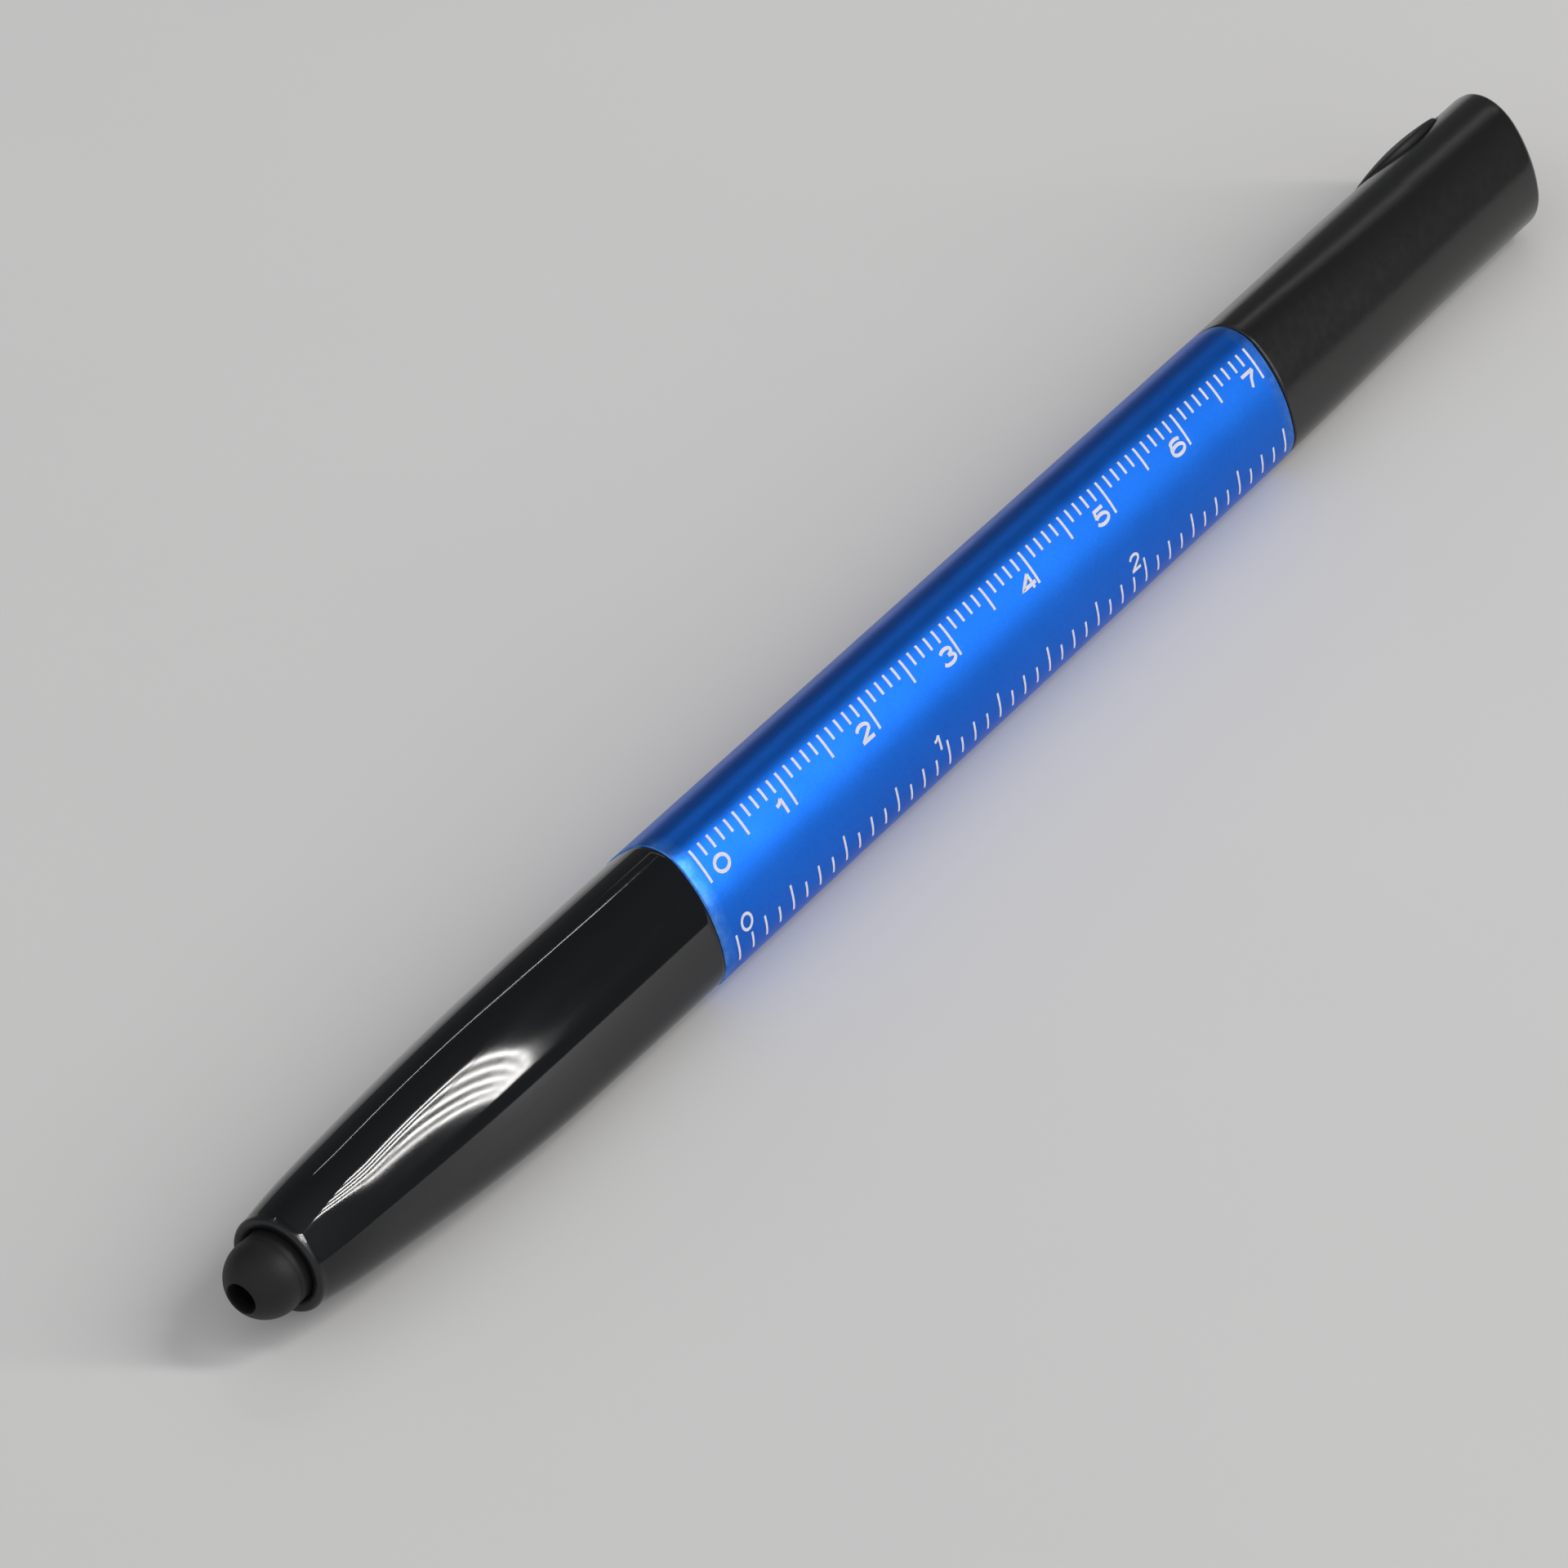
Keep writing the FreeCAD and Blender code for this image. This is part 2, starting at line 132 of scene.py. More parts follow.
def surface(station, flat, corner, inset, w):
    """Points with outward normal angle w on the section with heights flat and corner, moved in by inset.
    Near a corner h = rc + e cos(angle from the corner); near a flat h = rs - c cos(angle from the flat);
    point = (h - inset) n + h' t. All arguments broadcast; the result is in metres, in the row frame."""
    station, flat, corner, inset, w = np.broadcast_arrays(*[np.asarray(v, float) for v in
                                                            (station, flat, corner, inset, w)])
    k = (corner - flat) / (CORNER_H - SIDE_H)
    q = flat - SIDE_H * k
    a = (w - np.pi / 2 + np.pi / 3) % (2 * np.pi / 3) - np.pi / 3
    b = np.pi / 3 - np.abs(a)
    near = np.abs(a) < TURN
    h = np.where(near, q + k * (CORNER_R + E0 * np.cos(a)), q + k * (RS0 - C0 * np.cos(b))) - inset
    dh = np.where(near, -E0 * k * np.sin(np.abs(a)), -C0 * k * np.sin(b)) * np.sign(a)
    return np.stack([station + tip_x, axis_y + h * np.cos(w) - dh * np.sin(w),
                     axis_z + h * np.sin(w) + dh * np.cos(w)], -1) * MM


def ring_angles(corner_steps=30, side_steps=22):
    """Normal angles round one ring: even steps on each of the six arcs, closer together on the corners."""
    half = np.pi / 3 - TURN
    one = np.concatenate([np.linspace(-TURN, TURN, corner_steps, endpoint=False),
                          np.linspace(TURN, TURN + 2 * half, side_steps, endpoint=False)])
    return (np.pi / 2 + one[None, :] + 2 * np.pi / 3 * np.arange(3)[:, None]).ravel()


ANGLES = ring_angles()
print("points in a ring", len(ANGLES), "turn", round(float(np.degrees(TURN)), 2))

# %% [markdown]
# ## From rings to a closed skin
#
# A shell with a wall is a loop of rings: out along the outside, round the edge,
# back along the inside, and round the other edge. Joining each ring to the next
# gives a closed mesh with no caps. The faces are all worked out as one array.
# A UV map stores the station and the angle, so that a finish can follow the
# surface, and an attribute called edge tells the finish where the ends and rims
# are: there the barrel and cap finishes paint a lighter colour, a painted
# highlight mixed with wear, and the nose's gloss turns rougher.

# %% Mesh helpers
def add_mesh(name, points, faces, uv=None, edge=None, smooth_angle=40.0):
    """Puts points (n, 3) and a list of faces into a new object, with an optional UV and edge value per point."""
    mesh = bpy.data.meshes.new(name)
    mesh.from_pydata(points.reshape(-1, 3), [], faces)
    mesh.update()
    obj = bpy.data.objects.new(name, mesh)
    bpy.context.scene.collection.objects.link(obj)
    corner_point = np.zeros(len(mesh.loops), np.int32)
    mesh.loops.foreach_get("vertex_index", corner_point)
    if uv is not None:
        layer = mesh.uv_layers.new(name="along_and_round")
        layer.data.foreach_set("uv", uv.reshape(-1, 2)[corner_point].astype(np.float32).ravel())
    if edge is not None:
        wear = mesh.attributes.new("edge", "FLOAT", "POINT")
        wear.data.foreach_set("value", np.asarray(edge, np.float32).ravel())
    mesh.shade_smooth()
    mesh.set_sharp_from_angle(angle=np.radians(smooth_angle))
    return obj


def strips(count_rings, count_round, closed):
    """Quads that join each ring of points to the next; closed joins the last ring to the first."""
    i = np.arange(count_rings if closed else count_rings - 1)[:, None]
    j = np.arange(count_round)[None, :]
    nxt, k = (i + 1) % count_rings, (j + 1) % count_round
    return np.stack([i * count_round + j, i * count_round + k, nxt * count_round + k, nxt * count_round + j],
                    -1).reshape(-1, 4)


def outward(obj):
    """Turns all faces outwards. The volume's sign tells whether the whole mesh is inside out."""
    import bmesh
    bm = bmesh.new()
    bm.from_mesh(obj.data)
    bmesh.ops.recalc_face_normals(bm, faces=bm.faces)
    if bm.calc_volume(signed=True) < 0:
        bmesh.ops.reverse_faces(bm, faces=bm.faces)
    print(obj.name, "triangles", sum(len(f.verts) - 2 for f in bm.faces),
          "volume mm3", round(bm.calc_volume() * 1e9, 2),
          "open edges", sum(not e.is_manifold for e in bm.edges))
    bm.to_mesh(obj.data)
    bm.free()
    return obj


def shell(name, rows, edge=None, smooth_angle=40.0, angles=None):
    """A closed loop of rings. Each row is (station, flat height, corner height, inset)."""
    rows = np.asarray(rows, float)
    w = ANGLES if angles is None else angles
    pts = surface(rows[:, 0:1], rows[:, 1:2], rows[:, 2:3], rows[:, 3:4], w[None, :])
    uv = np.stack(np.broadcast_arrays(rows[:, 0:1] / 100, w[None, :] / (2 * np.pi)), -1)
    wear = None if edge is None else np.broadcast_to(np.asarray(edge, float)[:, None], pts.shape[:2])
    return outward(add_mesh(name, pts, strips(len(rows), len(w), True).tolist(), uv, wear, smooth_angle))


def spline(knots, values, x):
    """Natural cubic spline through (knots, values): the second derivatives solve a tridiagonal system."""
    knots, values, x = (np.asarray(v, float) for v in (knots, values, x))
    h = np.diff(knots)
    n = len(knots)
    m = np.eye(n)
    r = np.zeros(n)
    i = np.arange(1, n - 1)
    m[i, i - 1], m[i, i], m[i, i + 1] = h[:-1], 2 * (h[:-1] + h[1:]), h[1:]
    r[1:-1] = 6 * np.diff(np.diff(values) / h)
    d2 = np.linalg.solve(m, r)
    k = np.clip(np.searchsorted(knots, x) - 1, 0, n - 2)
    a, b = (knots[k + 1] - x) / h[k], (x - knots[k]) / h[k]
    return a * values[k] + b * values[k + 1] + ((a ** 3 - a) * d2[k] + (b ** 3 - b) * d2[k + 1]) * h[k] ** 2 / 6


def quarter(count, start=0.0, stop=90.0):
    """Cosine and sine of evenly spaced angles, for rounded edges."""
    t = np.radians(np.linspace(start, stop, count))
    return np.cos(t), np.sin(t)


def column(*parts):
    """Rows from pieces that may be single numbers or arrays, repeated to the longest."""
    return np.stack(np.broadcast_arrays(*[np.asarray(p, float) for p in parts]), -1)


print("helpers ready")

# %% [markdown]
# ## The barrel
#
# The barrel is a drawn aluminium tube, cut to length, with its two ends lightly
# broken so that a bright rim shows at each joint; its finish also paints that rim
# lighter, as a painted highlight. A modifier could round the ends, but the inset
# does it exactly: the ring's inset follows a quarter circle as the station runs to the end.

# %% Barrel shell
BREAK = 0.16
WALL = 0.7


def barrel_rows():
    c, s = quarter(6)
    front = column(barrel_0 + BREAK * (1 - s), SIDE_H, CORNER_H, BREAK * (1 - c))[::-1]
    body = column(np.linspace(barrel_0 + BREAK, barrel_1 - BREAK, 60)[1:-1], SIDE_H, CORNER_H, 0.0)
    back = column(barrel_1 - BREAK * (1 - s), SIDE_H, CORNER_H, BREAK * (1 - c))
    inner = column([barrel_1, barrel_1 - 0.1, 81.5, barrel_0 + 0.1, barrel_0], SIDE_H, CORNER_H,
                   [WALL + 0.1, WALL, WALL, WALL, WALL + 0.1])
    inner[[0, -1], 3] = WALL - 0.1
    front = front[np.argsort(front[:, 0])]
    back = back[np.argsort(back[:, 0])]
    return np.concatenate([front, body, back, inner])


rows = barrel_rows()
# edge is 1 on the outside at each end, fading over 0.3 mm; the finish paints a lighter blue there, a painted
# highlight mixed with wear.
edge = np.clip(1 - np.minimum(rows[:, 0] - barrel_0, barrel_1 - rows[:, 0]) / 0.3, 0, 1) * (rows[:, 3] < 0.5)
barrel_skin = shell("barrel_skin", rows, edge)

# %% [markdown]
# ## The nose
#
# The nose swells smoothly from a nearly round rim to the barrel's section. It is
# a gloss moulding, so any kink would show as a broken reflection. A natural
# cubic spline through a few measured heights keeps the curvature continuous.

# %% Nose shell
NOSE = np.array([(4.40, 3.535, 3.60), (6.7, 3.82, 4.03), (11.7, 4.19, 4.66), (17.7, 4.50, 5.27), (24.7, 4.76, 5.77),
                 (31.7, 4.87, 5.96), (38.7, 4.92, 6.01), (45.15, 4.93, 6.02)])


def nose_rows():
    s = np.concatenate([np.linspace(4.40, 12, 40, endpoint=False), np.linspace(12, 45.07, 110)])
    outer = column(s, spline(NOSE[:, 0], NOSE[:, 1], s), spline(NOSE[:, 0], NOSE[:, 2], s), 0.0)
    c, sn = quarter(9)
    rim = column(nose_0 + 0.32 * (1 - sn), 3.535, 3.60, 0.26 * (1 - c))[1:][::-1]
    back = column([nose_1 - 0.02, nose_1], 4.93, 6.02, [0.02, 0.10])
    hole = np.array([(nose_1, 3.8), (35.5, 3.8), (35.5, 1.95), (10.4, 1.95), (10.4, 1.25), (8.6, 1.25), (8.6, 2.55),
                     (5.24, 2.55), (5.24, 3.0), (4.27, 3.0), (4.27, 2.70), (4.12, 2.71), (4.02, 2.80), (3.93, 2.93),
                     (nose_0 + 0.01, 3.04)])
    bore = column(hole[:, 0], hole[:, 1], hole[:, 1], 0.0)
    return np.concatenate([rim, outer, back, bore])


rows = nose_rows()
nose_skin = shell("nose_skin", rows, np.clip(1 - (rows[:, 0] - nose_0) / 0.4, 0, 1))

# %% [markdown]
# ## The rubber ball
#
# The touch tip is one hollow rubber moulding: a ball with a hole at its pole for
# the ballpoint, a short neck, and a hidden flange that holds it in the nose.
# It is a turned shape, so its rings are plain circles, which are the same
# support function with both heights equal.

# %% Stylus ball
def ball_rows():
    r, hole = 2.7, 1.1
    first = np.arcsin(hole / r)
    t = np.linspace(first + 0.05, np.radians(101), 46)
    ball = column(r - r * np.cos(t), r * np.sin(t))
    neck = np.array([(3.24, 2.66), (4.2, 2.66), (4.30, 2.67), (4.30, 2.93), (4.33, 2.95), (5.17, 2.95), (5.2, 2.92),
                     (5.2, 2.5), (7.4, 2.5), (7.4, 1.9), (2.7, 1.9)])
    u = np.linspace(np.radians(88), np.arcsin(hole / 1.9) + 0.03, 18)
    inner = column(r - 1.9 * np.cos(u), 1.9 * np.sin(u))
    lip = np.array([(r - np.sqrt(1.9 ** 2 - hole ** 2) - 0.04, hole), (0.40, hole), (0.30, hole + 0.02), (0.25, hole + 0.06)])
    path = np.concatenate([ball, neck, inner, lip])
    return column(path[:, 0], path[:, 1], path[:, 1], 0.0)


ball_angles = np.linspace(0, 2 * np.pi, 128, endpoint=False)
rows = ball_rows()
stylus_skin = shell("stylus_skin", rows, np.clip(1 - np.abs(rows[:, 0] - 0.3) / 0.3, 0, 1), 50.0, ball_angles)

# %% [markdown]
# ## Going round the outline by distance
#
# Print and windows are laid out by distance on the surface, not by angle. The
# outline's radius of curvature is constant on each arc, so the distance from the
# middle of a flat is the radius times the angle, added up arc by arc. A table of
# that sum, read backwards, turns a distance into the normal angle.

# %% Distance round the section
def angle_at(distance, flat, corner, middle):
    """Normal angle at a signed distance (mm) round the outline from the middle of a flat."""
    k = (corner - flat) / (CORNER_H - SIDE_H)
    q = flat - SIDE_H * k
    half = np.pi / 3 - TURN
    b = np.array([-half - 1.2, -half, half, half + 1.2])
    side = (q + k * RS0) * half
    far = side + (q + k * CORNER_R) * 1.2
    return middle + np.interp(distance, [-far, -side, side, far], b)


print("flat half width mm", round(float((RS0) * (np.pi / 3 - TURN)), 3))

# %% [markdown]
# ## The tail cap and its window
#
# The cap is a satin moulding that grows rounder towards the tail and ends in a
# soft edge. An oval window for the lamp switch is cut in the flat that faces
# away from the scale. Cutting it with a boolean would leave long thin faces that
# spoil the satin. Instead a rectangle of the grid is left out, on the outside
# and on the inside of the wall, and rings that start as that rectangle and end
# as the oval fill it. Every ring is placed on the true surface.

# %% Cap section and window numbers
CAP = np.array([(118.25, 4.99, 6.06), (124.0, 5.02, 6.00), (130.0, 5.08, 5.88), (136.0, 5.13, 5.75), (142.0, 5.15, 5.66)])
TAIL_FLAT, TAIL_CORNER = 5.15, 5.66
LAMP_R = 1.62
CAP_WALL = 1.0
button_lo, button_hi = stations("switch_button")
window_mid = (button_lo + button_hi) / 2
window_a, window_b = 5.62, 3.32
WIN_0, WIN_1 = 142.35, 154.95
INNER_1 = 154.62
END = 156.7                              # station of the slanted end face, on the axis
END_ROUND, END_DROP = 0.84, 1.3
SLANT_Y, SLANT_Z = 0.35, -0.08
WIN_HALF = 4.05
print("window middle", round(window_mid, 2))

# %% Cap grid with its window
def cap_grid():
    """Rows of the cap's closed loop, as (station, flat, corner, inset), with the window's rows on both walls."""
    c, s = quarter(6)
    front = column(cap_0 + BREAK * (1 - s), 4.99, 6.06, BREAK * (1 - c))
    front = front[np.argsort(front[:, 0])]
    st = np.linspace(118.4, WIN_0, 60, endpoint=False)
    grow = column(st, spline(CAP[:, 0], CAP[:, 1], np.minimum(st, 142)), spline(CAP[:, 0], CAP[:, 2], np.minimum(st, 142)), 0.0)
    st = np.linspace(WIN_0, WIN_1, 31)
    window = column(st, TAIL_FLAT, TAIL_CORNER, 0.0)
    c, s = quarter(14)
    round_off = column(END - END_ROUND * (1 - s), TAIL_FLAT, TAIL_CORNER, END_DROP * (1 - c))
    lip = column([END, END, END - 0.02, END - 0.08, END - 0.2, 154.7],
                 [3.2, LAMP_R + 0.2, LAMP_R + 0.08, LAMP_R + 0.02, LAMP_R, LAMP_R],
                 [3.3, LAMP_R + 0.2, LAMP_R + 0.08, LAMP_R + 0.02, LAMP_R, LAMP_R], 0.0)
    cavity_end = column([154.7], TAIL_FLAT, TAIL_CORNER, CAP_WALL)
    inside = column(np.linspace(INNER_1, WIN_0, 31), TAIL_FLAT, TAIL_CORNER, CAP_WALL)
    bore = column([139.2, 139.2, cap_0], [4.15, 4.2, 4.2], [4.66, 4.2, 4.2], 0.0)
    rows = np.concatenate([front, grow, window, round_off, lip, cavity_end, inside, bore])
    lean_long = np.concatenate([np.zeros(len(front) + len(grow) + len(window)), np.ones(len(round_off) + 5)])
    lean_long = np.pad(lean_long, (0, len(rows) - len(lean_long)))
    lean_short = np.where(np.arange(len(rows)) < len(front) + len(grow) + len(window),
                          np.clip((rows[:, 0] - WIN_0) / (END - END_ROUND - WIN_0), 0, 1), lean_long)
    out0 = len(front) + len(grow)
    in0 = out0 + len(window) + len(round_off) + len(lip) + 1
    return rows, lean_long[:, None], lean_short[:, None], out0, out0 + len(window) - 1, in0, in0 + len(window) - 1


def window_columns(w):
    """First and last column whose distance from the switch flat is within the window's half width."""
    edge = angle_at(np.array([-WIN_HALF, WIN_HALF]), TAIL_FLAT, TAIL_CORNER, SWITCH)
    rel = (w - SWITCH + np.pi) % (2 * np.pi) - np.pi
    inside = np.where((rel >= edge[0] - SWITCH) & (rel <= edge[1] - SWITCH))[0]
    return inside[np.argsort(rel[inside])], rel


def loop_of(rows_i, cols_j):
    """Index pairs round the border of a block of the grid, each border point once."""
    r0, r1 = rows_i[0], rows_i[-1]
    a = [(r0, j) for j in cols_j[:-1]] + [(i, cols_j[-1]) for i in rows_i[:-1]]
    b = [(r1, j) for j in cols_j[:0:-1]] + [(i, cols_j[0]) for i in rows_i[:0:-1]]
    return np.array(a + b)


def distance_from_flat(rel, flat, corner):
    """Distance round the outline from the middle of a flat, for angles relative to its normal."""
    d = np.linspace(-7, 7, 1401)
    return np.interp(rel, angle_at(d, flat, corner, 0.0), d)


def window_rings(loop_s, loop_d, inset, shares):
    """Stations and distances of rings between a rectangle border (stations, distances) and the oval, at the given
    shares; inset is not used.
    """
    t = np.arctan2(loop_d / window_b, (loop_s - window_mid) / window_a)
    oval_s, oval_d = window_mid + window_a * np.cos(t), window_b * np.sin(t)
    k = np.asarray(shares, float)[:, None]
    s, d = loop_s + (oval_s - loop_s) * k, loop_d + (oval_d - loop_d) * k
    return s, d


def make_cap():
    rows, lean_long, lean_short, o0, o1, i0, i1 = cap_grid()
    w = ANGLES
    cols, rel = window_columns(w)
    n = len(w)
    pts = surface(rows[:, 0:1], rows[:, 1:2], rows[:, 2:3], rows[:, 3:4], w[None, :])
    rise = SLANT_Y * (pts[..., 1] - axis_y * MM) + SLANT_Z * (pts[..., 2] - axis_z * MM)
    pts[..., 0] += lean_long * np.maximum(rise, 0) + lean_short * np.minimum(rise, 0)
    pts = pts.reshape(-1, 3)
    uv = np.stack(np.broadcast_arrays(rows[:, 0:1] / 100, w[None, :] / (2 * np.pi)), -1).reshape(-1, 2)
    quads = strips(len(rows), n, True)
    ring, col = quads[:, 0] // n, quads[:, 0] % n
    in_cols = np.isin(col, cols[:-1])
    cut = in_cols & (((ring >= o0) & (ring < o1)) | ((ring >= i0) & (ring < i1)))
    quads = quads[~cut]
    outer_loop = loop_of(np.arange(o0, o1 + 1), cols)
    inner_loop = loop_of(np.arange(i1, i0 - 1, -1), cols)
    loop_s = rows[outer_loop[:, 0], 0]
    loop_d = distance_from_flat(rel[outer_loop[:, 1]], TAIL_FLAT, TAIL_CORNER)
    s, d = window_rings(loop_s, loop_d, 0.0, np.linspace(0, 0.93, 9)[1:])
    inset = np.zeros(len(s))
    c, sn = quarter(6)
    s2, d2 = window_rings(loop_s, loop_d, 0.0, 1 - 0.0 * sn)
    shrink = 1 + 0.022 * (1 - sn)
    s2 = window_mid + (s2 - window_mid) * shrink[:, None]
    d2 = d2 * (1 + 0.04 * (1 - sn))[:, None]
    inset2 = 0.13 * (1 - c)
    s3, d3 = window_rings(loop_s, loop_d, 0.0, np.concatenate([[1, 1, 1], np.linspace(0.8, 0.2, 4)]))
    inset3 = np.array([0.4, 0.7, CAP_WALL, CAP_WALL, CAP_WALL, CAP_WALL, CAP_WALL])
    S, D = np.concatenate([s, s2, s3]), np.concatenate([d, d2, d3])
    I = np.concatenate([inset, inset2, inset3])
    W = angle_at(D, TAIL_FLAT, TAIL_CORNER, SWITCH)
    extra = surface(S, TAIL_FLAT, TAIL_CORNER, I[:, None], W)
    base = len(pts)
    m = len(loop_s)
    index = np.concatenate([(outer_loop[:, 0] * n + outer_loop[:, 1])[None, :],
                            base + np.arange(len(S) * m).reshape(len(S), m),
                            (inner_loop[:, 0] * n + inner_loop[:, 1])[None, :]])
    j = np.arange(m)
    k = (j + 1) % m
    fill = np.stack([index[:-1][:, j], index[:-1][:, k], index[1:][:, k], index[1:][:, j]], -1).reshape(-1, 4)
    faces = np.concatenate([quads, fill])
    all_pts = np.concatenate([pts, extra.reshape(-1, 3)])
    all_uv = np.concatenate([uv, np.stack([S / 100, W / (2 * np.pi)], -1).reshape(-1, 2)])
    used, compact = np.unique(faces, return_inverse=True)
    st = all_pts[used, 0] / MM - tip_x
    # edge is high over the front 0.35 mm and the last millimetre before the tail; the finish paints a lighter grey
    # there, a painted highlight mixed with wear.
    edge = np.clip(1 - np.minimum(np.abs(st - cap_0) / 0.35, np.abs(END - 0.2 - st) / 1.0), 0, 1)
    return outward(add_mesh("cap_skin", all_pts[used], compact.reshape(-1, 4).tolist(), all_uv[used], edge, 35.0))


cap_skin = make_cap()

# %% [markdown]
# ## The lamp switch
#
# The switch is one soft rubber button: an oval crown that stands half a
# millimetre proud in the middle, a rounded edge, and a hidden flange that keeps
# it behind the wall. It lies on a curved flat, so its rings are ovals drawn on
# the cap's own surface, raised or sunk along the surface's normal.

# %% Switch button
def make_button():
    a, b, half = 5.44, 3.10, 5.5
    share = np.concatenate([np.linspace(0.06, 0.9, 16), [0.94, 0.965, 0.982, 0.993, 0.998, 1.0]])
    fall = np.concatenate([np.zeros(16), [0.01, 0.035, 0.075, 0.13, 0.2, 0.3]])
    side = np.array([0.985, 0.955, 1.08, 1.08, 0.24, 0.24, 0.05])
    deep = np.array([0.7, 1.12, 1.12, 1.66, 1.66, 3.05, 3.05])
    t = np.linspace(0, 2 * np.pi, 160, endpoint=False)
    k = np.concatenate([share, side])[:, None]
    s, d = window_mid + a * k * np.cos(t), b * k * np.sin(t)
    crown = 0.55 - 0.5 * ((s - window_mid) / half) ** 2
    inset = np.where(np.arange(len(k))[:, None] < len(share),
                     -crown + np.concatenate([fall, np.zeros(len(side))])[:, None],
                     np.concatenate([np.zeros(len(share)), deep])[:, None])
    w = angle_at(d, TAIL_FLAT, TAIL_CORNER, SWITCH)
    rings = surface(s, TAIL_FLAT, TAIL_CORNER, inset, w)
    poles = surface(window_mid, TAIL_FLAT, TAIL_CORNER, np.array([-0.55, 3.05]), SWITCH)
    pts = np.concatenate([rings.reshape(-1, 3), poles])
    n, m = len(rings), len(t)
    j = np.arange(m)
    top = np.stack([np.full(m, n * m), j, (j + 1) % m], -1)
    low = np.stack([np.full(m, n * m + 1), (n - 1) * m + (j + 1) % m, (n - 1) * m + j], -1)
    faces = strips(n, m, False).tolist() + top.tolist() + low.tolist()
    edge = np.concatenate([np.broadcast_to((np.abs(np.arange(n) - 18) < 4)[:, None], (n, m)).ravel(), [0, 0]])
    uv = np.concatenate([np.stack([s / 100, w / (2 * np.pi)], -1).reshape(-1, 2), [[window_mid / 100, 0.08]] * 2])
    return outward(add_mesh("switch_skin", pts, faces, uv, edge.astype(float), 45.0))


switch_skin = make_button()

# %% [markdown]
# ## The return spring
#
# The refill squeezes a coil spring as it comes out. The frame's spring is one
# rigid solid, so the refill would run through it. A wire carried round a helix
# is made here in its place.

# %% Spring wire
def make_spring():
    """A ring of wire radius carried along the helix (x, r cos, r sin), standing across the helix's tangent."""
    lo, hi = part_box("return_spring")
    wire_r, turns = 0.17, 11
    coil_r = (hi.y - lo.y) / 2 / MM - wire_r
    u = np.linspace(0, 1, turns * 40 + 1)[:, None]
    v = np.linspace(0, 2 * np.pi, 12, endpoint=False)[None, :]
    w = 2 * np.pi * turns * u
    length = (hi.x - lo.x) / MM - 2 * wire_r
    slope = np.arctan2(length, 2 * np.pi * turns * coil_r)
    out, across = wire_r * np.cos(v), wire_r * np.sin(v)
    x = lo.x / MM + wire_r + length * u + across * np.cos(slope)
    r, back = coil_r + out, -across * np.sin(slope)
    pts = np.stack([x, axis_y + r * np.cos(w) - back * np.sin(w), axis_z + r * np.sin(w) + back * np.cos(w)], -1) * MM
    n, m = pts.shape[:2]
    j = np.arange(m)
    first = np.stack([np.full(m, n * m), j, (j + 1) % m], -1)
    last = np.stack([np.full(m, n * m + 1), (n - 1) * m + (j + 1) % m, (n - 1) * m + j], -1)
    pts = np.concatenate([pts.reshape(-1, 3), pts[[0, -1]].mean(1)])
    return outward(add_mesh("spring_coil", pts, strips(n, m, False).tolist() + first.tolist() + last.tolist()))


spring_coil = make_spring()

# %% [markdown]
# ## The printed scale
#
# The scale is pad printed in white: a thin film of ink that follows the metal.
# A shader could draw the marks, but the numbers would be awkward, and real ink
# has a crisp edge and a slight thickness. So each mark is a little curved box,
# two hundredths of a millimetre proud, and all boxes come from one array.

# %% Tick marks
ZERO = barrel_0 + 1.53                   # station of both zeros
INK = 0.018


def ticks(name, at, start, length, width):
    """Curved boxes across the barrel. at: stations; start and length: distance from the printed flat's middle.
    Each box has a ring of four points at seven places along its length."""
    at, start, length = (np.asarray(v, float)[:, None, None] for v in np.broadcast_arrays(at, start, length))
    v = np.linspace(0, 1, 7)[None, :, None]
    side = np.array([-0.5, 0.5, 0.5, -0.5])[None, None, :]
    inset = np.array([-INK, -INK, 0.03, 0.03])[None, None, :]
    w = angle_at(start + length * v + 0 * side, SIDE_H, CORNER_H, PRINTED)
    pts = surface(at + side * width + 0 * v, SIDE_H, CORNER_H, inset + 0 * w, w)
    body = strips(7, 4, False)
    caps = np.array([[0, 1, 2, 3], [27, 26, 25, 24]])
    one = np.concatenate([body, caps])
    faces = (one[None] + 28 * np.arange(len(at))[:, None, None]).reshape(-1, 4)
    print(name, len(at), "marks")
    return outward(add_mesh(name, pts, faces.tolist(), smooth_angle=30.0))


mm = np.arange(0, 71)
cm_length = np.where(mm % 10 == 0, 2.65, np.where(mm % 5 == 0, 1.92, 1.03))
centimetre_ticks = ticks("centimetre_ticks", ZERO + mm, -4.15, cm_length, np.where(mm % 5 == 0, 0.25, 0.23).mean())
sixteenth = np.arange(0, 45)
in_length = np.where(sixteenth % 4 == 0, 1.98, np.where(sixteenth % 2 == 0, 1.55, 1.27))
inch_ticks = ticks("inch_ticks", ZERO + sixteenth * 25.4 / 16, 4.67 - in_length, in_length, 0.2)

# %% [markdown]
# ## The numbers
#
# Blender's own text could give the numbers, but its letters are the wrong width
# and weight for this scale, and a wide flat face can't follow a curved barrel.
# So each number is drawn as a pen would draw it: a centre line of straight runs
# and arcs in a unit box, given a constant width and wrapped round the barrel.

# %% Centre lines of the numbers
def arc(cx, cy, rx, ry, start, stop, count=14):
    """Points of an ellipse's arc, angles in degrees."""
    t = np.radians(np.linspace(start, stop, count))
    return np.stack([cx + rx * np.cos(t), cy + ry * np.sin(t)], -1)


def line(*points):
    """A broken line, divided so that it can bend round the barrel."""
    points = np.array(points, float)
    parts = [a + (b - a) * np.linspace(0, 1, 7)[:-1, None] for a, b in zip(points[:-1], points[1:])]
    return np.concatenate(parts + [points[-1:]])


